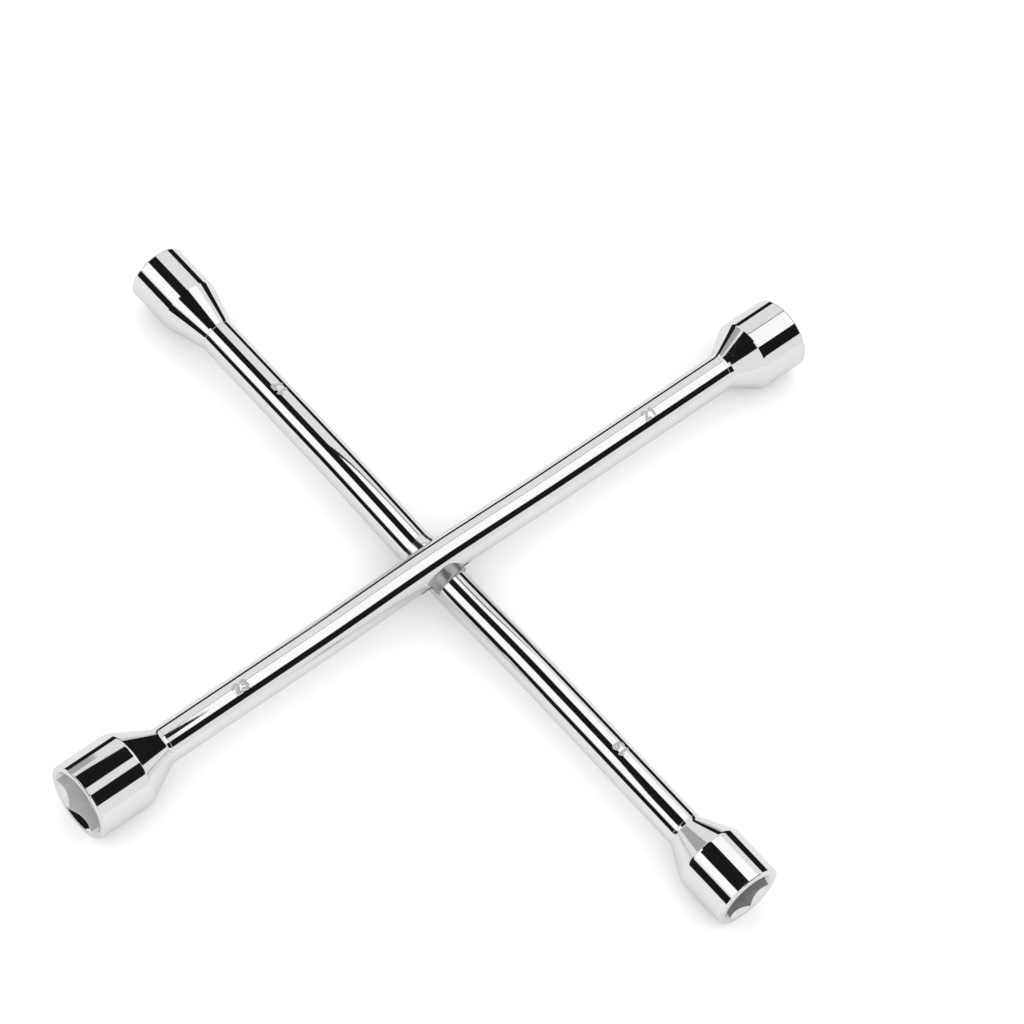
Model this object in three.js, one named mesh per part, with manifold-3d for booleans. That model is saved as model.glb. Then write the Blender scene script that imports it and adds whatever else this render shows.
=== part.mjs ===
// Four-way lug wrench: two round steel bars crossed in a half lap, with a hex socket on each of the four ends.
// Millimetres, +Z up, the cross lying flat. The origin is the middle of the overall length of both bars.
// The long bar runs along X and lies on top; the cross bar runs along Y and lies underneath.

import * as THREE from 'three';
import { mergeVertices } from 'three/addons/utils/BufferGeometryUtils.js';
import Module from 'manifold-3d';

const wasm = await Module();
wasm.setup();

// Bars
const BAR_RADIUS = 7.5;
const OVERALL_LENGTH = 356;
const HALF_LENGTH = OVERALL_LENGTH / 2;
const CROSSING = new THREE.Vector2(-5, 5);
const AXIS_OFFSET = 3.5;
const BOW_REACH = 65;
const BOW_STEPS = 8;

// Half lap
const LAP_GAP = 0.3;

// Welds in the crossing's corners. Each begins at WELD_START from the crossing, inside the other bar's flank,
// and leans towards one side and upwards, so that it thins out round the bar.
const WELD_GAP = 0.15;
const WELD_START = 5.5;
const WELD_LEAN_SIDE = 0.9;
const WELD_LEAN_UP = 0.8;
const BEAD_RADIUS = 8.2;
const BEAD_CROWN = 10;
const BEAD_ROUND = 2.6;
const BEAD_ROUND_SWEEP = 75;
const FILLET_RADIUS = 9.4;
const FILLET_FOOT = 7;
const FILLET_HOLLOW = 6.6;
const FILLET_END = 14.5;
const FILLET_SWEEP = 38;

// Spigot that locates each socket on its bar end
const SPIGOT_RADIUS = 4.5;
const SPIGOT_LENGTH = 6;
const SPIGOT_CHAMFER = 0.6;
const SPIGOT_CLEARANCE = 0.15;
const SPIGOT_END_CLEARANCE = 0.6;

// Sockets. hex is the size across flats, turn is the angle of one hex corner about the bar, in degrees.
const SOCKETS = {
  socket_17: { hex: 17, outside: 25, barrel: 21, cone: 18, turn: 8 },
  socket_19: { hex: 19, outside: 28.6, barrel: 22, cone: 14.5, turn: 17 },
  socket_21: { hex: 21, outside: 29.8, barrel: 20, cone: 13, turn: -11 },
  socket_23: { hex: 23, outside: 31.6, barrel: 23.5, cone: 17, turn: -23 },
};
const HEX_CLEARANCE = 0.2;
const HEX_DEPTH_SHARE = 0.72;
const BORE_BEHIND_HEX = 4;
const BORE_STEP = 1;
const BORE_DISH = 2;
const LEAD_IN = 0.25;
const RIM_ROUND = 0.7;
const SHOULDER_ROUND = 3;
const NECK_ROUND = 6;
const SLOPE_PASSES = 12;

// How far a cutting tool runs out past the face it cuts
const CUT_SPARE = 2;

const ROUND_SEGMENTS = 40;
const ARC_STEPS = 3;

// ---------------------------------------------------------------- solids

function toManifold(geometry) {
  const bare = geometry.clone();
  bare.deleteAttribute('normal');
  bare.deleteAttribute('uv');
  const merged = mergeVertices(bare);
  return new wasm.Manifold(new wasm.Mesh({
    numProp: 3,
    vertProperties: new Float32Array(merged.attributes.position.array),
    triVerts: new Uint32Array(merged.index.array),
  }));
}

function toGeometry(solid) {
  const mesh = solid.getMesh();
  const geometry = new THREE.BufferGeometry();
  geometry.setAttribute('position', new THREE.BufferAttribute(mesh.vertProperties, mesh.numProp));
  geometry.setIndex(new THREE.BufferAttribute(mesh.triVerts, 1));
  geometry.computeVertexNormals();
  return geometry;
}

// A solid turned about the Y axis from (radius, height) points.
function turned(points) {
  const profile = points.map(([radius, height]) => new THREE.Vector2(radius, height));
  return new THREE.LatheGeometry(profile, ROUND_SEGMENTS);
}

// Points of an arc about (cx, cy), from one angle to another, in degrees.
function arc(cx, cy, radius, from, to) {
  const points = [];
  for (let step = 0; step <= ARC_STEPS; step += 1) {
    const angle = THREE.MathUtils.degToRad(from + (to - from) * step / ARC_STEPS);
    points.push([cx + radius * Math.cos(angle), cy + radius * Math.sin(angle)]);
  }
  return points;
}

// ---------------------------------------------------------------- bars

// How far a bar stands off the middle plane, as a share of its full bow, at a distance from the crossing.
function bowShare(distance) {
  if (Math.abs(distance) >= BOW_REACH) return 0;
  return Math.cos(Math.PI * distance / (2 * BOW_REACH)) ** 2;
}

// A round bar along X, bowed by `bow` along Z at `crossingX`, with a spigot on each end.
function bowedBar(radius, lowX, highX, crossingX, bow) {
  const profile = [
    [0, lowX - SPIGOT_LENGTH],
    [SPIGOT_RADIUS - SPIGOT_CHAMFER, lowX - SPIGOT_LENGTH],
    [SPIGOT_RADIUS, lowX - SPIGOT_LENGTH + SPIGOT_CHAMFER],
    [SPIGOT_RADIUS, lowX],
    [radius, lowX],
  ];
  for (let step = -BOW_STEPS; step <= BOW_STEPS; step += 1) {
    profile.push([radius, crossingX + BOW_REACH * step / BOW_STEPS]);
  }
  profile.push(
    [radius, highX],
    [SPIGOT_RADIUS, highX],
    [SPIGOT_RADIUS, highX + SPIGOT_LENGTH - SPIGOT_CHAMFER],
    [SPIGOT_RADIUS - SPIGOT_CHAMFER, highX + SPIGOT_LENGTH],
    [0, highX + SPIGOT_LENGTH],
  );
  const geometry = turned(profile);
  geometry.rotateZ(-Math.PI / 2);
  const position = geometry.attributes.position;
  for (let i = 0; i < position.count; i += 1) {
    const lift = bow * bowShare(position.getX(i) - crossingX);
    position.setZ(i, position.getZ(i) + lift);
  }
  return geometry;
}

function socketLength(name) {
  return SOCKETS[name].barrel + SOCKETS[name].cone;
}

// The bar along X that lies on top at the crossing, in the wrench's frame.
function longBarRod(radius) {
  const lowX = -HALF_LENGTH + socketLength('socket_23');
  const highX = HALF_LENGTH - socketLength('socket_21');
  return bowedBar(radius, lowX, highX, CROSSING.x, AXIS_OFFSET / 2).translate(0, CROSSING.y, 0);
}

// The bar along Y that lies underneath at the crossing, in the wrench's frame.
function crossBarRod(radius) {
  const lowY = -HALF_LENGTH + socketLength('socket_19');
  const highY = HALF_LENGTH - socketLength('socket_17');
  return bowedBar(radius, lowY, highY, CROSSING.y, -AXIS_OFFSET / 2)
    .rotateZ(Math.PI / 2)
    .translate(CROSSING.x, 0, 0);
}

// Everything near the crossing above (side 1) or below (side -1) the height z.
function halfSpace(side, z) {
  const size = 8 * BAR_RADIUS;
  const box = new THREE.BoxGeometry(size, size, size);
  box.translate(CROSSING.x, CROSSING.y, z + side * size / 2);
  return toManifold(box);
}

// A bar with its half lap cut out, so that the other bar lies in it.
function lappedBar(rod, otherRod, otherSide) {
  const other = toManifold(otherRod(BAR_RADIUS + LAP_GAP));
  const notch = other.intersect(halfSpace(otherSide, -otherSide * LAP_GAP / 2));
  return toGeometry(toManifold(rod(BAR_RADIUS)).subtract(notch));
}

// ---------------------------------------------------------------- welds in the crossing's corners

// Weld metal round a bar, beside the bar that lies over it. The profile gives (radius, distance from the
// crossing); `lean` moves the ring off the bar's axis, so that the weld thins out on the far side.
function weldRing(profile, direction, axisHeight, lean, side) {
  const ring = turned(profile);
  ring.applyQuaternion(new THREE.Quaternion().setFromUnitVectors(new THREE.Vector3(0, 1, 0), direction));
  ring.translate(CROSSING.x + lean.x, CROSSING.y + lean.y, axisHeight + lean.z);
  const weld = toManifold(ring)
    .subtract(toManifold(longBarRod(BAR_RADIUS + WELD_GAP)))
    .subtract(toManifold(crossBarRod(BAR_RADIUS + WELD_GAP)))
    .intersect(halfSpace(side, side * WELD_GAP));
  return toGeometry(weld);
}

// A raised bead, as wide as the corner between the bars is deep.
function beadProfile() {
  const crown = arc(BEAD_RADIUS - BEAD_ROUND, BEAD_CROWN, BEAD_ROUND, 0, BEAD_ROUND_SWEEP);
  const end = crown[crown.length - 1][1];
  return [
    [0, WELD_START],
    [BEAD_RADIUS, WELD_START],
    ...crown,
    [0, end],
  ];
}

// A hollow fillet, dressed smooth, that runs out along the bar.
function filletProfile() {
  return [
    [0, WELD_START],
    [FILLET_RADIUS, WELD_START],
    ...arc(FILLET_FOOT + FILLET_HOLLOW, FILLET_END, FILLET_HOLLOW, 180 + FILLET_SWEEP, 180),
    [0, FILLET_END],
  ];
}

// ---------------------------------------------------------------- sockets

// The cone's angle from the axis. The neck fillet leaves the bar at height 0, which lifts the cone's own
// foot by the fillet's tangent length, so the angle is found in a few passes.
function coneSlope(size) {
  const rise = size.outside / 2 - BAR_RADIUS;
  let slope = Math.atan2(rise, size.cone);
  for (let pass = 0; pass < SLOPE_PASSES; pass += 1) {
    slope = Math.atan2(rise, size.cone - NECK_ROUND * Math.tan(slope / 2));
  }
  return slope;
}

// The socket's outside from the neck, at height 0, to the rim: fillet, cone, rounded shoulder, barrel.
function outsidePoints(size) {
  const radius = size.outside / 2;
  const length = size.barrel + size.cone;
  const slope = coneSlope(size);
  const degrees = THREE.MathUtils.radToDeg(slope);
  const shoulderHeight = size.cone + SHOULDER_ROUND * Math.tan(slope / 2);
  return [
    [0, 0],
    ...arc(BAR_RADIUS + NECK_ROUND, 0, NECK_ROUND, 180, 180 - degrees),
    ...arc(radius - SHOULDER_ROUND, shoulderHeight, SHOULDER_ROUND, -degrees, 0),
    [radius, length - RIM_ROUND],
    ...arc(radius - RIM_ROUND, length - RIM_ROUND, RIM_ROUND, 30, 90),
  ];
}

// The inside from the rim down to the dished bottom of the clearance bore.
function insidePoints(size) {
  const length = size.barrel + size.cone;
  const flat = (size.hex + HEX_CLEARANCE) / 2;
  const corner = flat / Math.cos(Math.PI / 6);
  const bore = flat - BORE_STEP;
  const boreDepth = size.barrel * HEX_DEPTH_SHARE + BORE_BEHIND_HEX;
  return [
    [corner + LEAD_IN, length],
    [bore, length - (corner + LEAD_IN - bore)],
    [bore, length - boreDepth],
    [0, length - boreDepth - BORE_DISH],
  ];
}

function hexRecess(size) {
  const corner = (size.hex + HEX_CLEARANCE) / 2 / Math.cos(Math.PI / 6);
  const depth = size.barrel * HEX_DEPTH_SHARE;
  const prism = new THREE.CylinderGeometry(corner, corner, depth + CUT_SPARE, 6);
  prism.rotateY(THREE.MathUtils.degToRad(size.turn));
  prism.translate(0, size.barrel + size.cone - (depth - CUT_SPARE) / 2, 0);
  return prism;
}

function spigotBore() {
  const depth = SPIGOT_LENGTH + SPIGOT_END_CLEARANCE;
  const radius = SPIGOT_RADIUS + SPIGOT_CLEARANCE;
  const bore = new THREE.CylinderGeometry(radius, radius, depth + CUT_SPARE, ROUND_SEGMENTS);
  return bore.translate(0, (depth - CUT_SPARE) / 2, 0);
}

// A socket along +Y with its neck face at the origin.
function socketGeometry(size) {
  const body = turned([...outsidePoints(size), ...insidePoints(size)]);
  const solid = toManifold(body)
    .subtract(toManifold(hexRecess(size)))
    .subtract(toManifold(spigotBore()));
  return toGeometry(solid);
}

// ---------------------------------------------------------------- materials

function polishedChrome() {
  return new THREE.MeshStandardMaterial({ color: 0xd9dcde, metalness: 1, roughness: 0.08 });
}

function dullWeld() {
  return new THREE.MeshStandardMaterial({ color: 0x7f817f, metalness: 1, roughness: 0.45 });
}

// ---------------------------------------------------------------- assembly

function piece(name, geometry, material) {
  const mesh = new THREE.Mesh(geometry, material);
  mesh.name = name;
  return mesh;
}

// A socket in a group that points along `turn` degrees from +Y, on the end of its bar.
function placedSocket(name, position, turn) {
  const arm = new THREE.Group();
  arm.rotation.z = THREE.MathUtils.degToRad(turn);
  arm.position.copy(position);
  const socket = piece(name, socketGeometry(SOCKETS[name]), polishedChrome());
  socket.position.y = HALF_LENGTH - socketLength(name);
  arm.add(socket);
  return arm;
}

function sockets() {
  const group = new THREE.Group();
  const onLongBar = new THREE.Vector3(0, CROSSING.y, 0);
  const onCrossBar = new THREE.Vector3(CROSSING.x, 0, 0);
  group.add(placedSocket('socket_17', onCrossBar, 0));
  group.add(placedSocket('socket_19', onCrossBar, 180));
  group.add(placedSocket('socket_21', onLongBar, -90));
  group.add(placedSocket('socket_23', onLongBar, 90));
  return group;
}

function bars() {
  const group = new THREE.Group();
  group.add(piece('long_bar', lappedBar(longBarRod, crossBarRod, -1), polishedChrome()));
  group.add(piece('cross_bar', lappedBar(crossBarRod, longBarRod, 1), polishedChrome()));
  return group;
}

function welds() {
  const group = new THREE.Group();
  const along = (x, y) => new THREE.Vector3(x, y, 0);
  const over = -AXIS_OFFSET / 2;
  const under = AXIS_OFFSET / 2;
  const onTop = new THREE.Vector3(WELD_LEAN_SIDE, 0, WELD_LEAN_UP);
  const underneath = new THREE.Vector3(0, WELD_LEAN_SIDE, -WELD_LEAN_UP);
  const bead19 = weldRing(beadProfile(), along(0, -1), over, onTop, 1);
  const fillet17 = weldRing(filletProfile(), along(0, 1), over, onTop, 1);
  const bead21 = weldRing(beadProfile(), along(1, 0), under, underneath, -1);
  const bead23 = weldRing(beadProfile(), along(-1, 0), under, underneath, -1);
  group.add(piece('weld_on_19_side', bead19, dullWeld()));
  group.add(piece('weld_on_17_side', fillet17, polishedChrome()));
  group.add(piece('weld_on_21_side', bead21, dullWeld()));
  group.add(piece('weld_on_23_side', bead23, dullWeld()));
  return group;
}

const lugWrench = new THREE.Group();
lugWrench.name = 'lug_wrench';
lugWrench.add(bars(), sockets(), welds());

export default lugWrench;
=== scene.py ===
"""Looks of the four-way lug wrench: chromed bars and sockets, satin hexes, stamped sizes and welds.

Metres, +Z up, in the frame of the CAD model: the long bar runs along X, the cross bar along Y.
"""

import math

import bmesh
import bpy
from mathutils import Matrix, Vector, noise


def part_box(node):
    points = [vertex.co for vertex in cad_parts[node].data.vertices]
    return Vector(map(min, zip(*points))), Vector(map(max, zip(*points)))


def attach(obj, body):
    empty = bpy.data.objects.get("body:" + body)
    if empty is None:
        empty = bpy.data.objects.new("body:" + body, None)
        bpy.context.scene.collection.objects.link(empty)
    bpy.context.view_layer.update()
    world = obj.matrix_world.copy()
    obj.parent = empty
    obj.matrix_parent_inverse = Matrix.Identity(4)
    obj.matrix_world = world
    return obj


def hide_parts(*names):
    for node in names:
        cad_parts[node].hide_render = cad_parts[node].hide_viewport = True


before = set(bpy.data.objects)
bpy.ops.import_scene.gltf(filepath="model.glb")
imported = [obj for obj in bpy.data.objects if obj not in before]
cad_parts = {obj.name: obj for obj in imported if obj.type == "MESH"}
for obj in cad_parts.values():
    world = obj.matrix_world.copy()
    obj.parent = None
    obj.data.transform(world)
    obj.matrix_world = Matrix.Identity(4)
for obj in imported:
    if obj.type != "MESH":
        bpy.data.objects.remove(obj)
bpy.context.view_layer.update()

MM = 0.001

# Arms of the cross: direction of each socket in the XY plane
ARMS = {
    "socket_17": (0, 1),
    "socket_19": (0, -1),
    "socket_21": (1, 0),
    "socket_23": (-1, 0),
}

# Sockets, in millimetres and degrees: length of the cone, radius of the shoulder, angle of one hex corner,
# and how bright the plate inside the hex is painted, lighter or darker per socket as painted light and shade
# in the hole
SOCKETS = {
    "socket_17": {"cone": 18.0, "shoulder": 2.2, "turn": 8, "satin": 0.8},
    "socket_19": {"cone": 14.5, "shoulder": 2.6, "turn": 17, "satin": 0.55},
    "socket_21": {"cone": 13.0, "shoulder": 2.4, "turn": -11, "satin": 0.8},
    "socket_23": {"cone": 17.0, "shoulder": 1.7, "turn": -23, "satin": 1.0},
}
HEX_CLEARANCE = 0.2
HEX_DEPTH_SHARE = 0.72
HEX_CORNER_ROUND = 0.6
BORE_BEHIND_HEX = 4.0
BORE_STEP = 1.0
BORE_DISH = 2.0
LEAD_IN = 0.25
RIM_ROUND = 0.7
RIM_INNER_ROUND = 0.14
WEAR_REACH = 1.2
NECK_ROUND = 4.5
SEAM = 0.08
SPIGOT_RADIUS = 4.5
SPIGOT_LENGTH = 6.0
SPIGOT_CHAMFER = 0.6
SPIGOT_CLEARANCE = 0.15
SPIGOT_END_CLEARANCE = 0.6

# Bars, in millimetres. Rings of points are BOW_STEP apart over the bow, with BAR_STRETCHES even stretches
# from end to end besides. The points of a ring are RING_STEP degrees apart.
BAR_RADIUS = 7.5
BOW = 1.75
BOW_REACH = 65.0
BOW_STEP = 2.5
BAR_STRETCHES = 24
RING_STEP = 3.0
LAP_GAP = 0.1

# Stamped sizes, in millimetres: distance of each from its socket's neck, the strokes, and the burr beside
# them. What lies deeper than STAMP_PRESSED shows stamped metal. STAMP_ANGLE is in degrees from straight up,
# and the points round the bar are close together for STAMP_SPAN degrees to each side of it.
STAMP_FROM_NECK = {"socket_17": 38, "socket_19": 38, "socket_21": 40, "socket_23": 36}
STAMP_HEIGHT = 3.8
STAMP_PITCH = 3.3
STAMP_STROKE = 0.42
STAMP_DEPTH = 0.22
STAMP_ANGLE = -5.0
STAMP_HALF_LENGTH = 5.2
STAMP_STEP = 0.18
STAMP_SPAN = 24
STAMP_RING_STEP = 1.5
STAMP_PRESSED = -0.03
BURR_WIDTH = 0.35
BURR_HEIGHT = 0.03

# Digits as strokes in a box 0.8 wide and 1.5 high
DIGITS = {
    "1": [(0.12, 1.18), (0.48, 1.5), (0.48, 0.0)],
    "2": [(0.0, 1.12), (0.1, 1.38), (0.38, 1.5), (0.66, 1.4), (0.76, 1.14), (0.66, 0.86),
          (0.0, 0.0), (0.8, 0.0)],
    "3": [(0.02, 1.3), (0.22, 1.47), (0.5, 1.48), (0.73, 1.3), (0.72, 1.0), (0.38, 0.82),
          (0.74, 0.66), (0.8, 0.36), (0.6, 0.06), (0.28, 0.0), (0.0, 0.2)],
    "7": [(0.0, 1.5), (0.8, 1.5), (0.3, 0.0)],
    "9": [(0.76, 0.98), (0.55, 0.76), (0.22, 0.78), (0.03, 1.02), (0.1, 1.36), (0.4, 1.5),
          (0.7, 1.36), (0.78, 1.0), (0.68, 0.42), (0.4, 0.06), (0.12, 0.0)],
}
DIGIT_WIDTH = 0.8
DIGIT_HEIGHT = 1.5

# Welds, in millimetres. Each goes round one bar and begins inside the other, WELD_START from the crossing.
WELD_START = 3.0
WELD_GAP = 0.04
WELD_LEAN_SIDE = 0.5
WELD_LEAN_UP = -0.3
BEAD_RADIUS = 8.4
BEAD_CROWN = 9.6
BEAD_ROUND = 1.7
BEAD_SLANT = 2.6
FILLET_FOOT = 7.5
FILLET_HOLLOW = 60.0
FILLET_END = 15.0
FILLET_SWEEP = 7.0
FILLET_LEAN = (0.6, 0, 0.1)
WELD_POINTS = 144

# Unevenness of the welds: its height in millimetres on the top bead and on those underneath, then how fine
# its coarse, fine and edge parts are, and how much of each there is
TOP_RIPPLE = 0.1
UNDER_RIPPLE = 0.25
COARSE_GRAIN, FINE_GRAIN, EDGE_GRAIN = 0.42, 1.3, 0.8
COARSE_SHARE, FINE_SHARE, EDGE_SHARE = 0.65, 0.35, 1.6

ARC_STEPS = 10


# ---------------------------------------------------------------- mesh helpers


def mesh_object(name, points, faces, materials, face_materials=None):
    """A mesh object from points in millimetres, with its normals pointing out and hard corners kept crisp."""
    mesh = bpy.data.meshes.new(name)
    mesh.from_pydata([(x * MM, y * MM, z * MM) for x, y, z in points], [], faces)
    for material in materials:
        mesh.materials.append(material)
    if face_materials is not None:
        mesh.polygons.foreach_set("material_index", face_materials)
    work = bmesh.new()
    work.from_mesh(mesh)
    bmesh.ops.recalc_face_normals(work, faces=work.faces)
    work.to_mesh(mesh)
    work.free()
    obj = bpy.data.objects.new(name, mesh)
    bpy.context.scene.collection.objects.link(obj)
    shade(obj)
    return obj


def shade(obj, crease=38.0):
    mesh = obj.data
    mesh.polygons.foreach_set("use_smooth", [True] * len(mesh.polygons))
    mesh.set_sharp_from_angle(angle=math.radians(crease))


def arc(cx, cy, radius, start, end, steps=ARC_STEPS):
    """Points of an arc about (cx, cy), angles in degrees."""
    angles = [math.radians(start + (end - start) * i / steps) for i in range(steps + 1)]
    return [(cx + radius * math.cos(a), cy + radius * math.sin(a)) for a in angles]


def supported(profile, margin=0.07, longest=1.0):
    """The same profile with a point close to each end of every long straight run, so that it shades flat."""
    out = [profile[0]]
    for a, b in zip(profile, profile[1:]):
        length = math.dist(a, b)
        if length > longest:
            for share in (margin / length, 1 - margin / length):
                out.append((a[0] + (b[0] - a[0]) * share, a[1] + (b[1] - a[1]) * share))
        out.append(b)
    return out


def tube(rows, first_pole, last_pole):
    """Points and faces of a closed body from rings of equal length, with a pole at each end."""
    count = len(rows[0])
    points = [first_pole]
    for row in rows:
        points.extend(row)
    points.append(last_pole)
    faces = [(0, 1 + (k + 1) % count, 1 + k) for k in range(count)]
    for i in range(len(rows) - 1):
        a = 1 + i * count
        b = a + count
        faces.extend((a + k, a + (k + 1) % count, b + (k + 1) % count, b + k) for k in range(count))
    base = 1 + (len(rows) - 1) * count
    faces.extend((base + k, base + (k + 1) % count, len(points) - 1) for k in range(count))
    return points, faces


def boolean(obj, cutter, operation):
    """Cuts or trims obj with a cutter object, which is removed afterwards."""
    modifier = obj.modifiers.new("cut", "BOOLEAN")
    modifier.operation = operation
    modifier.solver = "EXACT"
    modifier.object = cutter
    bpy.context.view_layer.update()
    result = bpy.data.meshes.new_from_object(obj.evaluated_get(bpy.context.evaluated_depsgraph_get()))
    if not result.polygons:
        raise RuntimeError("nothing is left of " + obj.name + " after a cut")
    obj.modifiers.clear()
    obj.data = result
    bpy.data.objects.remove(cutter)
    shade(obj)


# ---------------------------------------------------------------- procedural materials

# Scale of the noise along each axis: polishing lines run round a part, the broach's lines run along a hex
LINES_ON_X = (22, 1, 1)
LINES_ON_Y = (1, 22, 1)
BROACH_ON_X = (1, 16, 16)
BROACH_ON_Y = (16, 1, 16)

DRESSED_ROUGHNESS = 0.15

# Share of the floor's tone that its reflections keep: painted shade on the floor where the chrome reflects it
MIRRORED_FLOOR = 0.70


class Nodes:
    """A small builder for one material's node tree."""

    def __init__(self, name):
        self.material = bpy.data.materials.new(name)
        self.material.use_nodes = True
        self.tree = self.material.node_tree
        self.shader = self.tree.nodes["Principled BSDF"]

    def add(self, kind, **settings):
        node = self.tree.nodes.new(kind)
        for key, value in settings.items():
            setattr(node, key, value)
        return node

    def link(self, a, output, b, socket):
        self.tree.links.new(a.outputs[output], b.inputs[socket])

    def place(self, scale):
        """The piece's own coordinates, stretched by a scale for each axis."""
        coordinates = self.add("ShaderNodeTexCoord")
        mapping = self.add("ShaderNodeMapping")
        mapping.inputs["Scale"].default_value = scale
        self.link(coordinates, "Object", mapping, "Vector")
        return mapping

    def noise(self, scale, detail=2.0, roughness=0.5, stretch=(1, 1, 1)):
        mapping = self.place(stretch)
        texture = self.add("ShaderNodeTexNoise")
        texture.inputs["Scale"].default_value = scale
        texture.inputs["Detail"].default_value = detail
        texture.inputs["Roughness"].default_value = roughness
        self.link(mapping, "Vector", texture, "Vector")
        return texture

    def spread(self, source, output, low, high, start=0.3, end=0.7):
        """A value from low to high as the source goes from start to end."""
        remap = self.add("ShaderNodeMapRange")
        remap.inputs["From Min"].default_value = start
        remap.inputs["From Max"].default_value = end
        remap.inputs["To Min"].default_value = low
        remap.inputs["To Max"].default_value = high
        self.link(source, output, remap, "Value")
        return remap

    def maths(self, operation, a, b):
        """a and b are numbers or (node, output)."""
        node = self.add("ShaderNodeMath", operation=operation)
        for socket, value in zip(node.inputs, (a, b)):
            if isinstance(value, tuple):
                self.tree.links.new(value[0].outputs[value[1]], socket)
            else:
                socket.default_value = value
        return node

    def colour(self, factor, output, low, high):
        mix = self.add("ShaderNodeMix", data_type="RGBA")
        colour_inputs = [s for s in mix.inputs if s.type == "RGBA"]
        colour_inputs[0].default_value = (*low, 1)
        colour_inputs[1].default_value = (*high, 1)
        self.link(factor, output, mix, "Factor")
        result = [s for s in mix.outputs if s.type == "RGBA"][0]
        self.tree.links.new(result, self.shader.inputs["Base Color"])

    def bump(self, layers):
        """Bump from (node, output, depth in metres) layers, one over the other."""
        previous = None
        for node, output, depth in layers:
            bump = self.add("ShaderNodeBump")
            bump.inputs["Strength"].default_value = 1.0
            bump.inputs["Distance"].default_value = depth
            self.link(node, output, bump, "Height")
            if previous is not None:
                self.link(previous, "Normal", bump, "Normal")
            previous = bump
        self.link(previous, "Normal", self.shader, "Normal")


def polished_chrome(name, stretch, roughness=0.035):
    """Mirror chrome with faint polishing lines, hazy handling marks and a slightly wavy surface."""
    n = Nodes(name)
    n.shader.inputs["Metallic"].default_value = 1.0
    haze = n.noise(38, 3.0, 0.55)
    n.colour(n.spread(haze, "Fac", 0.0, 1.0), "Result", (0.88, 0.89, 0.90), (0.92, 0.925, 0.93))
    lines = n.noise(60, 2.0, 0.6, stretch)
    marks = n.noise(210, 4.0, 0.7)
    hazy = n.spread(haze, "Fac", roughness, roughness + 0.025, 0.45, 0.72)
    lined = n.spread(lines, "Fac", -0.008, 0.012)
    marked = n.spread(marks, "Fac", 0.0, 0.07, 0.66, 0.8)
    worn = n.add("ShaderNodeAttribute", attribute_name="wear")
    wear = n.maths("MULTIPLY", (worn, "Fac"), (n.spread(marks, "Fac", 0.0, 0.03, 0.4, 0.62), "Result"))
    total = n.maths("ADD", (hazy, "Result"), (lined, "Result"))
    total = n.maths("ADD", (total, "Value"), (marked, "Result"))
    total = n.maths("ADD", (total, "Value"), (wear, "Value"))
    n.link(total, "Value", n.shader, "Roughness")
    wave = n.noise(55, 1.0, 0.4)
    n.bump([
        (wave, "Fac", 0.000035),
        (lines, "Fac", 0.0000012),
        (marks, "Fac", 0.0000018),
    ])
    return n.material


def satin_plate(name, stretch, tone):
    """The unpolished plate inside a hex, with the broach's lines along the walls. Its tone is set per socket,
    lighter or darker as painted light and shade in the hole.
    """
    n = Nodes(name)
    n.shader.inputs["Metallic"].default_value = 0.45
    blotch = n.noise(150, 3.0, 0.6)
    # tone makes the same plate lighter or darker per socket: painted light and shade in the hole
    dull = [tone * v for v in (0.60, 0.61, 0.62)]
    bright = [tone * v for v in (0.71, 0.72, 0.725)]
    n.colour(n.spread(blotch, "Fac", 0.0, 1.0), "Result", dull, bright)
    lines = n.noise(300, 2.0, 0.6, stretch)
    grain = n.noise(2600, 2.0, 0.6)
    rough = n.spread(blotch, "Fac", 0.30, 0.44)
    n.link(rough, "Result", n.shader, "Roughness")
    n.bump([
        (lines, "Fac", 0.00004),
        (grain, "Fac", 0.00001),
    ])
    return n.material


def weld_metal(name):
    """Weld metal left rough under the plate: satin, rippled and pitted."""
    n = Nodes(name)
    n.shader.inputs["Metallic"].default_value = 1.0
    blotch = n.noise(260, 4.0, 0.6)
    n.colour(n.spread(blotch, "Fac", 0.0, 1.0), "Result", (0.44, 0.45, 0.44), (0.54, 0.55, 0.535))
    grain = n.noise(1500, 4.0, 0.65)
    rough = n.spread(grain, "Fac", 0.30, 0.42)
    n.link(rough, "Result", n.shader, "Roughness")
    n.bump([
        (blotch, "Fac", 0.00004),
        (grain, "Fac", 0.000012),
    ])
    return n.material


def stamped_metal(name):
    """The pressed and plated bottom of the stamped numbers, which scatters the light."""
    n = Nodes(name)
    n.shader.inputs["Metallic"].default_value = 0.6
    grain = n.noise(1800, 3.0, 0.6)
    n.colour(n.spread(grain, "Fac", 0.0, 1.0), "Result", (0.50, 0.505, 0.51), (0.60, 0.605, 0.61))
    rough = n.spread(grain, "Fac", 0.38, 0.52)
    n.link(rough, "Result", n.shader, "Roughness")
    n.bump([(grain, "Fac", 0.00001)])
    return n.material


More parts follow.
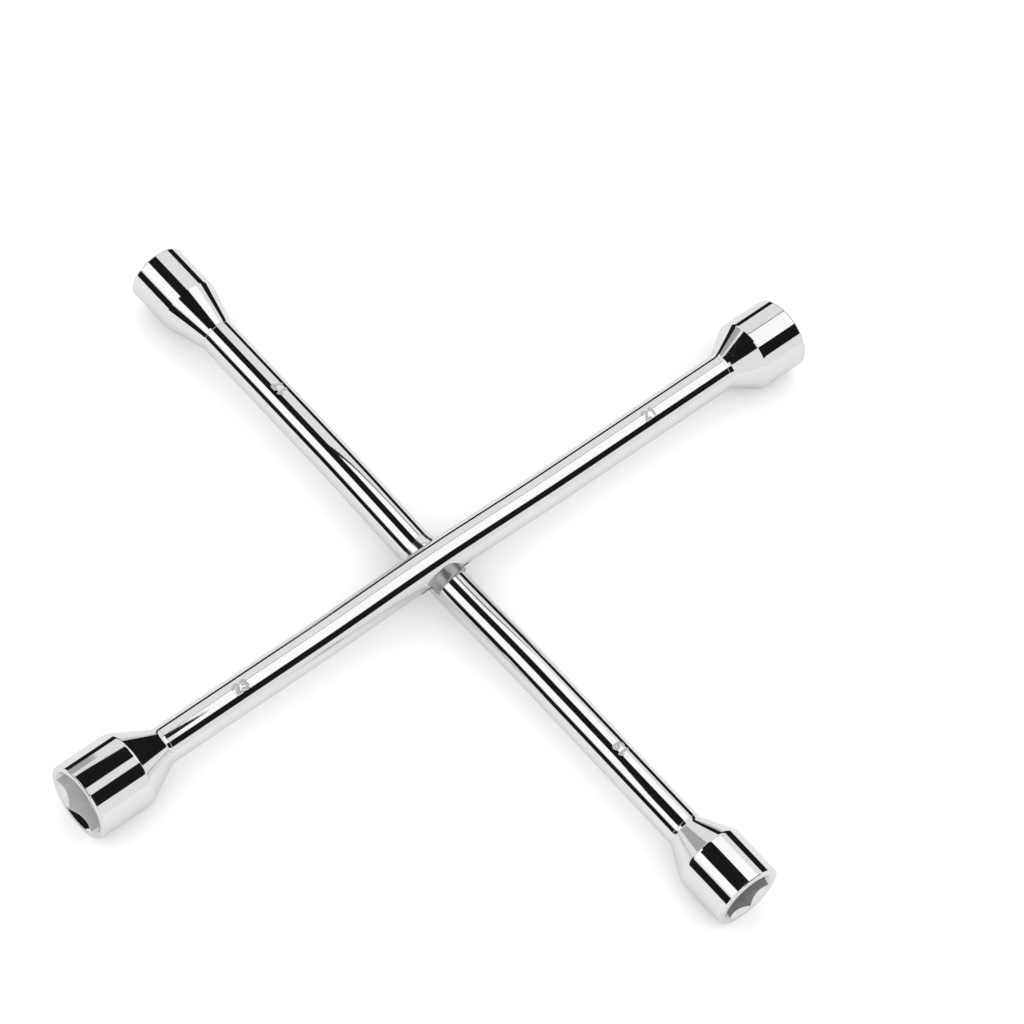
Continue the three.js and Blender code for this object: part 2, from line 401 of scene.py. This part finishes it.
def floor_paint():
    """A plain pale floor with a faint unevenness in tone and sheen, and painted shade where the chrome
    reflects it.
    """
    n = Nodes("floor_paint")
    tone = n.noise(3.0, 4.0, 0.5)
    n.colour(n.spread(tone, "Fac", 0.0, 1.0), "Result", (0.865, 0.867, 0.87), (0.885, 0.886, 0.888))
    rough = n.spread(tone, "Fac", 0.75, 0.9)
    n.link(rough, "Result", n.shader, "Roughness")
    n.shader.inputs["Specular IOR Level"].default_value = 0.1
    grain = n.noise(900, 2.0, 0.5)
    n.bump([(grain, "Fac", 0.00002)])
    # Painted shade: the chrome shows the floor darker than the camera does
    path = n.add("ShaderNodeLightPath")
    reflected_floor_shade = n.maths("MULTIPLY_ADD", (path, "Is Glossy Ray"), MIRRORED_FLOOR - 1.0)
    reflected_floor_shade.inputs[2].default_value = 1.0
    base = n.shader.inputs["Base Color"].links[0].from_socket
    scale = n.add("ShaderNodeVectorMath", operation="SCALE")
    n.tree.links.new(base, scale.inputs[0])
    n.link(reflected_floor_shade, "Value", scale, "Scale")
    n.link(scale, "Vector", n.shader, "Base Color")
    return n.material


# ---------------------------------------------------------------- sockets


def cone_slope(outside, cone):
    """The cone's angle from the axis, in degrees, with the neck fillet's tangent length allowed for."""
    rise = outside - BAR_RADIUS
    slope = math.atan2(rise, cone)
    for _ in range(12):
        slope = math.atan2(rise, cone - NECK_ROUND * math.tan(slope / 2))
    return math.degrees(slope)


def hex_radius(flat, angle):
    """Distance from the axis to the wall of a hex hole, at an angle from one of its corners, in degrees."""
    off = abs((angle + 30) % 60 - 30)
    centre = (flat - HEX_CORNER_ROUND) / math.cos(math.radians(30))
    reach = centre + HEX_CORNER_ROUND * math.cos(math.radians(30))
    tangent = math.degrees(math.atan2(HEX_CORNER_ROUND / 2, reach))
    if off < tangent:
        a = math.radians(off)
        return centre * math.cos(a) + math.sqrt(HEX_CORNER_ROUND**2 - (centre * math.sin(a)) ** 2)
    return flat / math.cos(math.radians(30 - off))


def socket_angles(turn):
    """Angles round the socket, close together at the hex's corners."""
    half = [0, 0.45, 0.9, 1.35, 1.9, 2.8, 4.2, 6.2, 8.6, 11.4, 14.4, 17.6, 21, 24, 27]
    steps = [-a for a in reversed(half[1:])] + half + [30]
    return [turn + 60 * side + a for side in range(6) for a in steps]


def socket_outside(outside, length, cone, shoulder):
    """(radius, height) from the neck to the rim."""
    slope = cone_slope(outside, cone)
    lift = cone + shoulder * math.tan(math.radians(slope) / 2)
    neck = arc(BAR_RADIUS + NECK_ROUND, 0, NECK_ROUND, 180, 180 - slope)
    start = [p for p in neck if p[1] > SEAM]
    profile = [(BAR_RADIUS - SEAM, 0), (BAR_RADIUS - SEAM * 0.25, SEAM * 0.55), (BAR_RADIUS + 0.01, SEAM)]
    profile += start
    profile += arc(outside - shoulder, lift, shoulder, -slope, 0)
    profile += [(outside, length - WEAR_REACH), (outside, length - WEAR_REACH / 2)]
    profile += arc(outside - RIM_ROUND, length - RIM_ROUND, RIM_ROUND, 0, 90)
    return supported(profile, longest=2.0)


def socket_piece(name):
    lo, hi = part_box(name)
    size = int(name.split("_")[1])
    settings = SOCKETS[name]
    direction = Vector((*ARMS[name], 0))
    length = abs((hi - lo).dot(direction)) / MM
    outside = (hi.z - lo.z) / 2 / MM
    flat = (size + HEX_CLEARANCE) / 2
    lead = flat / math.cos(math.radians(30)) + LEAD_IN
    bore = flat - BORE_STEP
    floor_height = length - (length - settings["cone"]) * HEX_DEPTH_SHARE
    spigot = SPIGOT_RADIUS + SPIGOT_CLEARANCE
    spigot_end = SPIGOT_LENGTH + SPIGOT_END_CLEARANCE
    angles = socket_angles(settings["turn"])
    walls = [hex_radius(flat, a - settings["turn"]) for a in angles]
    chamfer_top = length - RIM_INNER_ROUND
    chamfer_radius = lead - RIM_INNER_ROUND

    def wall_row(offset, below):
        return [(w + offset, chamfer_top - (chamfer_radius - w) - below) for w in walls]

    def round_row(radius, height):
        return [(radius, height)] * len(angles)

    profile = supported([(spigot, spigot_end), (spigot, 0)]) + [(spigot + 0.1, 0)]
    outside_profile = socket_outside(outside, length, settings["cone"], settings["shoulder"])
    rows = [round_row(r, h) for r, h in profile + outside_profile]
    rim_face = supported([(outside - RIM_ROUND - 0.02, length), (lead, length)], 0.03, 0.5)
    rows += [round_row(r, h) for r, h in rim_face[1:]]
    rows.append(round_row(chamfer_radius, chamfer_top))
    rows.append(wall_row(0.07, -0.07))
    rows.append(wall_row(0, 0.03))
    first_wall = len(rows)
    rows.append(wall_row(0, 0.12))
    rows.append([(w, floor_height + 0.3) for w in walls])
    rows.append([(w - 0.05, floor_height + 0.06) for w in walls])
    rows.append([(w - 0.25, floor_height) for w in walls])
    for r, h in [(bore + 0.15, floor_height - 0.05), (bore, floor_height - 0.2)]:
        rows.append(round_row(r, h))
    bore_end = floor_height - BORE_BEHIND_HEX
    for r, h in [(bore, bore_end + 0.5), (bore - 0.4, bore_end), (bore * 0.5, bore_end - BORE_DISH * 0.55)]:
        rows.append(round_row(r, h))

    sines = [(math.sin(math.radians(a)), math.cos(math.radians(a))) for a in angles]
    rings = [[(r * s, h, r * c) for (r, h), (s, c) in zip(row, sines)] for row in rows]
    points, faces = tube(rings, (0, spigot_end, 0), (0, bore_end - BORE_DISH, 0))
    count = len(angles)

    # Material of each face: satin from the hex's edge inwards, polish elsewhere
    finishes = [0] * count
    for i in range(len(rows) - 1):
        finishes += [1 if i >= first_wall - 1 else 0] * count
    finishes += [1] * count

    along_x = direction.x != 0
    lines = LINES_ON_X if along_x else LINES_ON_Y
    broach = BROACH_ON_X if along_x else BROACH_ON_Y
    polish = polished_chrome(name + "_polish", lines)
    # The satin setting scales the plate's tone per socket: painted light and shade inside the hex
    satin = satin_plate(name + "_satin", broach, settings["satin"])
    piece = mesh_object(name + "_chrome", points, faces, [polish, satin], finishes)

    wear = piece.data.attributes.new("wear", "FLOAT", "POINT")
    reach = [0.0]
    for i in range(len(rows)):
        radius, height = rows[i][0]
        share = 1.0 - (length - height) / WEAR_REACH if i < first_wall else 0.0
        reach += [max(0.0, share)] * count
    reach.append(0.0)
    wear.data.foreach_set("value", reach)

    neck = (lo + hi) / 2 - direction * length * MM / 2
    turn = Matrix.Rotation(math.atan2(-direction.x, direction.y), 4, "Z")
    piece.data.transform(Matrix.Translation(neck) @ turn)
    return piece


# ---------------------------------------------------------------- bars


def bow_share(distance):
    if abs(distance) >= BOW_REACH:
        return 0.0
    return math.cos(math.pi * distance / (2 * BOW_REACH)) ** 2


def stroke_distance(u, v, text):
    """Distance in millimetres from a point to the nearest stroke of a text centred on the origin."""
    scale = STAMP_HEIGHT / DIGIT_HEIGHT
    best = math.inf
    for k, digit in enumerate(text):
        left = (k - (len(text) - 1) / 2) * STAMP_PITCH - DIGIT_WIDTH * scale / 2
        strokes = DIGITS[digit]
        for a, b in zip(strokes, strokes[1:]):
            ax, ay = left + a[0] * scale, (a[1] - DIGIT_HEIGHT / 2) * scale
            bx, by = left + b[0] * scale, (b[1] - DIGIT_HEIGHT / 2) * scale
            dx, dy = bx - ax, by - ay
            share = ((u - ax) * dx + (v - ay) * dy) / (dx * dx + dy * dy)
            share = min(1.0, max(0.0, share))
            best = min(best, math.hypot(u - ax - dx * share, v - ay - dy * share))
    return best


def stamp_height(distance):
    """Height of the surface at a distance from a stroke: a round-bottomed groove with a burr beside it."""
    if distance < STAMP_STROKE:
        share = distance / STAMP_STROKE
        return -STAMP_DEPTH * (1 - share**2.5)
    burr = (distance - STAMP_STROKE) / BURR_WIDTH
    return BURR_HEIGHT * math.sin(math.pi * burr) if burr < 1 else 0.0


def bar_angles(fine):
    """Angles round a bar from +Z, in degrees, close together where the sizes are stamped."""
    if not fine:
        return [i * RING_STEP for i in range(int(360 / RING_STEP))]
    low, high = STAMP_ANGLE - STAMP_SPAN, STAMP_ANGLE + STAMP_SPAN
    close = [low + STAMP_RING_STEP * i for i in range(int(2 * STAMP_SPAN / STAMP_RING_STEP) + 1)]
    wide = [high + RING_STEP * i for i in range(1, int((360 - 2 * STAMP_SPAN) / RING_STEP))]
    return close + wide


def bar_mesh(low, high, crossing, radius, bow, stamps):
    """Points and faces of a bar along X between two neck faces, with a spigot on each end."""
    angles = [math.radians(a) for a in bar_angles(bool(stamps))]
    middle, span = math.radians(STAMP_ANGLE), math.radians(STAMP_SPAN + RING_STEP / 2)
    bow_steps = int(BOW_REACH / BOW_STEP)
    stations = [low + 2, high - 2]
    stations += [crossing + BOW_STEP * i for i in range(-bow_steps, bow_steps + 1)]
    stations += [low + (high - low) * i / BAR_STRETCHES for i in range(1, BAR_STRETCHES)]
    for centre, _ in stamps:
        steps = int(STAMP_HALF_LENGTH / STAMP_STEP)
        stations = [s for s in stations if abs(s - centre) > STAMP_HALF_LENGTH + 0.3]
        stations += [centre + STAMP_STEP * i for i in range(-steps, steps + 1)]
    stations = sorted(stations)
    body = [(radius - SEAM, low), (radius - SEAM * 0.25, low + SEAM * 0.55), (radius, low + SEAM)]
    body += [(radius, low + SEAM + 0.07)]
    body += [(radius, s) for s in stations if low + 1 < s < high - 1]
    body += [(radius, high - SEAM - 0.07)]
    body += [(radius, high - SEAM), (radius - SEAM * 0.25, high - SEAM * 0.55), (radius - SEAM, high)]
    tip = SPIGOT_RADIUS - SPIGOT_CHAMFER
    start = [(tip, low - SPIGOT_LENGTH), (SPIGOT_RADIUS, low - SPIGOT_LENGTH + SPIGOT_CHAMFER)]
    start += [(SPIGOT_RADIUS, low)]
    end = [(SPIGOT_RADIUS, high), (SPIGOT_RADIUS, high + SPIGOT_LENGTH - SPIGOT_CHAMFER)]
    end += [(tip, high + SPIGOT_LENGTH)]
    rings = []
    pressed = [0]
    for r, s in start + body + end:
        lift = bow * bow_share(s - crossing)
        near = [(centre, text) for centre, text in stamps if abs(s - centre) <= STAMP_HALF_LENGTH]
        ring = []
        for a in angles:
            press = 0.0
            if near and abs(a - middle) < span:
                centre, text = near[0]
                press = stamp_height(stroke_distance(s - centre, (a - middle) * radius, text))
            rr = r + press
            pressed.append(1 if press < STAMP_PRESSED else 0)
            ring.append((s, rr * math.sin(a), rr * math.cos(a) + lift))
        rings.append(ring)
    pressed.append(0)
    points, faces = tube(rings, (low - SPIGOT_LENGTH, 0, 0), (high + SPIGOT_LENGTH, 0, 0))
    return points, faces, [max(pressed[k] for k in face) for face in faces]


long_low, long_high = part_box("socket_23")[1].x / MM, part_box("socket_21")[0].x / MM
cross_low, cross_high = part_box("socket_19")[1].y / MM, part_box("socket_17")[0].y / MM
long_box, cross_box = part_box("long_bar"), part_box("cross_bar")
crossing_x = (cross_box[0].x + cross_box[1].x) / 2 / MM
crossing_y = (long_box[0].y + long_box[1].y) / 2 / MM


def long_rod(name, radius, stamps=(), materials=()):
    points, faces, pressed = bar_mesh(long_low, long_high, crossing_x, radius, BOW, stamps)
    rod = mesh_object(name, points, faces, materials, pressed)
    rod.data.transform(Matrix.Translation((0, crossing_y * MM, 0)))
    return rod


def cross_rod(name, radius, stamps=(), materials=()):
    points, faces, pressed = bar_mesh(cross_low, cross_high, crossing_y, radius, -BOW, stamps)
    rod = mesh_object(name, points, faces, materials, pressed)
    place = Matrix.Translation((crossing_x * MM, 0, 0)) @ Matrix.Rotation(math.pi / 2, 4, "Z")
    rod.data.transform(place)
    return rod


def half_block(name, side, height, reach=60.0):
    """Everything near the crossing above (side 1) or below (side -1) a height, in millimetres."""
    z0, z1 = sorted((height, height + side * reach))
    x0, x1 = crossing_x - reach / 2, crossing_x + reach / 2
    y0, y1 = crossing_y - reach / 2, crossing_y + reach / 2
    points = [(x, y, z) for z in (z0, z1) for x, y in ((x0, y0), (x1, y0), (x1, y1), (x0, y1))]
    faces = [(0, 3, 2, 1), (4, 5, 6, 7), (0, 1, 5, 4), (1, 2, 6, 5), (2, 3, 7, 6), (3, 0, 4, 7)]
    return mesh_object(name, points, faces, [])


def stamp_centres(low_socket, high_socket, low, high):
    return (
        (low + STAMP_FROM_NECK[low_socket], low_socket.split("_")[1]),
        (high - STAMP_FROM_NECK[high_socket], high_socket.split("_")[1]),
    )


def bar_pieces():
    """Both bars, each with its half lap cut out so that the other lies in it."""
    long_bar = long_rod(
        "long_bar_chrome",
        BAR_RADIUS,
        stamp_centres("socket_23", "socket_21", long_low, long_high),
        [polished_chrome("long_bar_polish", LINES_ON_X), stamped_metal("long_bar_stamp")],
    )
    cross_bar = cross_rod(
        "cross_bar_chrome",
        BAR_RADIUS,
        stamp_centres("socket_19", "socket_17", cross_low, cross_high),
        [polished_chrome("cross_bar_polish", LINES_ON_Y), stamped_metal("cross_bar_stamp")],
    )
    under = cross_rod("under", BAR_RADIUS + LAP_GAP)
    boolean(under, half_block("below", -1, LAP_GAP / 2), "INTERSECT")
    over = long_rod("over", BAR_RADIUS + LAP_GAP)
    boolean(over, half_block("above", 1, -LAP_GAP / 2), "INTERSECT")
    boolean(long_bar, under, "DIFFERENCE")
    boolean(cross_bar, over, "DIFFERENCE")
    return long_bar, cross_bar


# ---------------------------------------------------------------- welds


def bead_profile():
    """(radius, distance from the crossing) of a raised bead with a rounded crown."""
    body = [(BEAD_RADIUS, WELD_START + (BEAD_CROWN - WELD_START) * i / 8) for i in range(8)]
    return body + arc(BEAD_RADIUS - BEAD_ROUND, BEAD_CROWN, BEAD_ROUND, 0, 80)


def fillet_profile():
    """(radius, distance from the crossing) of a hollow fillet that runs out along the bar."""
    run = arc(FILLET_FOOT + FILLET_HOLLOW, FILLET_END, FILLET_HOLLOW, 180 + FILLET_SWEEP, 180, 16)
    start = [(run[0][0], WELD_START + (run[0][1] - WELD_START) * i / 5) for i in range(5)]
    return start + run


def weld_ring(name, profile, direction, axis_height, lean, slant, material, ripple):
    """Weld metal round a bar, leaning to one side, with an uneven surface.

    A slant pushes the ring's end out along the bar on one side; without one the lean runs out along the bar.
    """
    out = Vector(direction)
    side = out.cross(Vector((0, 0, 1)))
    middle = Vector((crossing_x, crossing_y, axis_height))
    lean = Vector(lean)
    rings = []
    for i, (r, d) in enumerate(profile):
        centre = middle + lean * (1.0 if slant else (1 - i / (len(profile) - 1)) ** 2)
        ring = []
        for k in range(WELD_POINTS):
            a = 2 * math.pi * k / WELD_POINTS
            radial = side * math.sin(a) + Vector((0, 0, 1)) * math.cos(a)
            p = centre + out * (d - slant * radial.dot(lean.normalized()) * i / len(profile)) + radial * r
            coarse = noise.noise(p * COARSE_GRAIN)
            fine = noise.noise(p * FINE_GRAIN + Vector((7, 3, 1)))
            edge = noise.noise(p * EDGE_GRAIN + Vector((1, 9, 4)))
            p += radial * ripple * (COARSE_SHARE * coarse + FINE_SHARE * fine)
            p += out * ripple * EDGE_SHARE * edge
            ring.append(tuple(p))
        rings.append(ring)
    first = middle + out * profile[0][1]
    last = centre + out * (profile[-1][1] + 0.02)
    points, faces = tube(rings, tuple(first), tuple(last))
    return mesh_object(name, points, faces, [material])


def weld_piece(name, profile, direction, lean, slant, side, material, ripple):
    """One weld, trimmed to the corner between the two bars on one side of the middle plane."""
    height = -side * BOW
    weld = weld_ring(name, profile, direction, height, lean, slant, material, ripple)
    boolean(weld, long_rod("trim_long", BAR_RADIUS + WELD_GAP), "DIFFERENCE")
    boolean(weld, cross_rod("trim_cross", BAR_RADIUS + WELD_GAP), "DIFFERENCE")
    boolean(weld, half_block("trim_half", side, side * LAP_GAP), "INTERSECT")
    return weld


def weld_pieces():
    rough = weld_metal("weld_satin")
    dressed = polished_chrome("weld_dressed", LINES_ON_X, DRESSED_ROUGHNESS)
    top = (WELD_LEAN_SIDE, 0, WELD_LEAN_UP)
    bottom = (0, WELD_LEAN_SIDE, -WELD_LEAN_UP)
    bead, fillet = bead_profile(), fillet_profile()
    return {
        "weld_on_19_side": weld_piece(
            "weld_19_bead", bead, (0, -1, 0), top, BEAD_SLANT, 1, rough, TOP_RIPPLE
        ),
        "weld_on_17_side": weld_piece(
            "weld_17_fillet", fillet, (0, 1, 0), FILLET_LEAN, 0, 1, dressed, 0.0
        ),
        "weld_on_21_side": weld_piece(
            "weld_21_bead", bead, (1, 0, 0), bottom, BEAD_SLANT, -1, rough, UNDER_RIPPLE
        ),
        "weld_on_23_side": weld_piece(
            "weld_23_bead", bead, (-1, 0, 0), bottom, BEAD_SLANT, -1, rough, UNDER_RIPPLE
        ),
    }


# ---------------------------------------------------------------- studio

# The camera looks at a point beside the crossing, in millimetres. In degrees, its bearing is from +X, its
# height from the level, and its roll anticlockwise as it sees the wrench. It sees between the two CAMERA_CLIP
# distances, in metres.
CAMERA_AIM = (35, 5, 0)
CAMERA_DISTANCE = 1776
CAMERA_BEARING = -139.1
CAMERA_HEIGHT = 56.9
CAMERA_ROLL = 10.2
CAMERA_LENS = 160
CAMERA_SENSOR = 36
CAMERA_CLIP = (0.05, 50)

# Half the floor's side in metres, and how far it lies under the barrels in millimetres
FLOOR_REACH = 5.0
FLOOR_DROP = 0.05


def resting_plane():
    """(point, normal) of a plane that three far-apart feet of the barrels stand on, with none below it."""
    feet = []
    for name, (dx, dy) in ARMS.items():
        lo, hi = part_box(name)
        middle = (lo + hi) / 2
        reach = abs((hi - lo).dot(Vector((dx, dy, 0)))) / 2
        for along in (reach - RIM_ROUND * MM, SOCKETS[name]["cone"] * MM - reach):
            feet.append(Vector((middle.x + dx * along, middle.y + dy * along, lo.z)))
    best = None
    for i in range(len(feet)):
        for j in range(i + 1, len(feet)):
            for k in range(j + 1, len(feet)):
                normal = (feet[j] - feet[i]).cross(feet[k] - feet[i])
                if normal.length < 1e-6:
                    continue
                normal.normalize()
                if normal.z < 0:
                    normal.negate()
                if any((f - feet[i]).dot(normal) < -1e-7 for f in feet):
                    continue
                spread = (feet[j] - feet[i]).length + (feet[k] - feet[i]).length
                if best is None or spread > best[2]:
                    best = (feet[i], normal, spread)
    return best[0], best[1]


def build_floor():
    point, normal = resting_plane()
    mesh = bpy.data.meshes.new("floor")
    corners = []
    reach = FLOOR_REACH
    for x, y in ((-reach, -reach), (reach, -reach), (reach, reach), (-reach, reach)):
        z = point.z - (normal.x * (x - point.x) + normal.y * (y - point.y)) / normal.z - FLOOR_DROP * MM
        corners.append((x, y, z))
    mesh.from_pydata(corners, [], [(0, 1, 2, 3)])
    mesh.materials.append(floor_paint())
    floor = bpy.data.objects.new("floor", mesh)
    bpy.context.scene.collection.objects.link(floor)


# Painted reflections: sheets that glow or stay dark, light nothing and show only in the chrome, standing in
# for soft boxes, flags and a grey card, as stretches of barrels round the crossing. Each has its name, the
# bar it is parallel to, its tone, its first and last angle from straight up (towards the camera is positive),
# and its first and last place along the bar in metres. The flags hang inside the glowing sheets. Any part of
# the wrench can reflect any card.
# Tones of the painted reflections: glowing white, grey and near-black sheets
WHITE, GREY, BLACK = 1.05, 0.4, 0.01
GLOW_SHEET_DISTANCE = 0.8
FLAG_DISTANCE = 0.65
CARDS = [
    ("main_glow_sheet", "long", WHITE, -25, 25, (0.15, 0.8)),
    ("glow_sheet_frame", "long", BLACK, -28, -26, (0.1, 0.7)),
    ("camera_flag", "long", BLACK, 25, 60, (-0.1, 0.8)),
    ("far_flag", "long", BLACK, -95, -75, (-0.2, 0.8)),
    ("far_wall", "long", GREY, -75, -55, (-0.4, 0.1)),
    ("middle_flag", "cross", BLACK, -10, 25, (-0.03, 0.6)),
    ("side_glow_sheet", "cross", WHITE, 25, 60, (-0.2, 0.6)),
    ("side_flag", "cross", BLACK, 65, 90, (-0.1, 0.7)),
    ("end_flag", "cross", BLACK, -95, -65, (-0.2, 0.7)),
    ("back_flag", "long", BLACK, -10, 25, (-0.6, -0.2)),
]
CARD_STEPS = 12


def reflection_glow_paint(name, tone):
    """A sheet that glows with one even tone: a painted reflection that lights nothing."""
    material = bpy.data.materials.new(name)
    material.use_nodes = True
    material.cycles.emission_sampling = "NONE"
    nodes = material.node_tree.nodes
    nodes.clear()
    glow = nodes.new("ShaderNodeEmission")
    glow.inputs["Color"].default_value = (tone, tone, tone, 1)
    out = nodes.new("ShaderNodeOutputMaterial")
    material.node_tree.links.new(glow.outputs[0], out.inputs["Surface"])
    return material


def card(name, bar, tone, first, last, along):
    """One glowing or dark sheet, standing in for a soft box, flag or grey card: a painted reflection that
    shows only in the chrome and lights nothing.
    """
    axis = Vector((1, 0, 0) if bar == "long" else (0, 1, 0))
    towards_camera = Vector((0, -1, 0) if bar == "long" else (-1, 0, 0))
    middle = Vector((crossing_x, crossing_y, 0)) * MM
    distance = FLAG_DISTANCE if tone == BLACK else GLOW_SHEET_DISTANCE
    points = []
    for i in range(CARD_STEPS + 1):
        angle = math.radians(first + (last - first) * i / CARD_STEPS)
        out = Vector((0, 0, 1)) * math.cos(angle) + towards_camera * math.sin(angle)
        points += [tuple(middle + out * distance + axis * place) for place in along]
    faces = [(2 * i, 2 * i + 1, 2 * i + 3, 2 * i + 2) for i in range(CARD_STEPS)]
    mesh = bpy.data.meshes.new(name)
    mesh.from_pydata(points, [], faces)
    mesh.materials.append(reflection_glow_paint(name, tone))
    obj = bpy.data.objects.new(name, mesh)
    bpy.context.scene.collection.objects.link(obj)
    obj.visible_camera = False
    obj.visible_diffuse = False
    obj.visible_transmission = False
    obj.visible_volume_scatter = False
    obj.visible_shadow = False


def build_cards():
    for name, bar, tone, first, last, along in CARDS:
        card(name, bar, tone, first, last, along)


# Brightness of the room as it lights the scene, and as the chrome reflects it
ROOM = 1.35
REFLECTED_ROOM = 0.80

# The soft light, in metres and watts
LIGHT_PLACE = (-1.0, -0.9, 1.6)
LIGHT_SIZE = (1.6, 1.2)
LIGHT_POWER = 6.0


def build_world():
    """A plain pale room. Its reflection in the chrome is greyer than the light it gives."""
    world = bpy.data.worlds.new("room")
    bpy.context.scene.world = world
    world.use_nodes = True
    tree = world.node_tree
    background = tree.nodes["Background"]
    background.inputs["Color"].default_value = (1.0, 1.0, 1.0, 1)
    path = tree.nodes.new("ShaderNodeLightPath")
    mix = tree.nodes.new("ShaderNodeMapRange")
    mix.inputs["To Min"].default_value = ROOM
    mix.inputs["To Max"].default_value = REFLECTED_ROOM
    tree.links.new(path.outputs["Is Glossy Ray"], mix.inputs["Value"])
    tree.links.new(mix.outputs["Result"], background.inputs["Strength"])


def build_light():
    light = bpy.data.lights.new("softbox", "AREA")
    light.shape = "RECTANGLE"
    light.size, light.size_y = LIGHT_SIZE
    light.energy = LIGHT_POWER
    obj = bpy.data.objects.new("softbox", light)
    obj.location = LIGHT_PLACE
    obj.rotation_mode = "QUATERNION"
    obj.rotation_quaternion = (-obj.location).to_track_quat("-Z", "Y")
    obj.visible_glossy = False
    obj.visible_camera = False
    bpy.context.scene.collection.objects.link(obj)


def build_camera():
    data = bpy.data.cameras.new("camera")
    data.sensor_width = CAMERA_SENSOR
    data.lens = CAMERA_LENS
    data.clip_start, data.clip_end = CAMERA_CLIP
    camera = bpy.data.objects.new("camera", data)
    bearing, height = math.radians(CAMERA_BEARING), math.radians(CAMERA_HEIGHT)
    back = Vector((
        math.cos(bearing) * math.cos(height),
        math.sin(bearing) * math.cos(height),
        math.sin(height),
    ))
    level = Vector((-math.sin(bearing), math.cos(bearing), 0))
    right = Matrix.Rotation(math.radians(CAMERA_ROLL), 3, back) @ level
    turn = Matrix((right, back.cross(right), back)).transposed().to_4x4()
    place = Vector(CAMERA_AIM) * MM + back * CAMERA_DISTANCE * MM
    camera.matrix_world = Matrix.Translation(place) @ turn
    bpy.context.scene.collection.objects.link(camera)
    bpy.context.scene.camera = camera


# ---------------------------------------------------------------- assembly


def stand_for(piece, node):
    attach(piece, "root")
    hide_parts(node)


for socket_name in SOCKETS:
    stand_for(socket_piece(socket_name), socket_name)
long_piece, cross_piece = bar_pieces()
stand_for(long_piece, "long_bar")
stand_for(cross_piece, "cross_bar")
for node_name, weld in weld_pieces().items():
    stand_for(weld, node_name)

build_floor()
build_cards()
build_world()
build_light()
build_camera()
bpy.context.scene.view_settings.view_transform = "Standard"
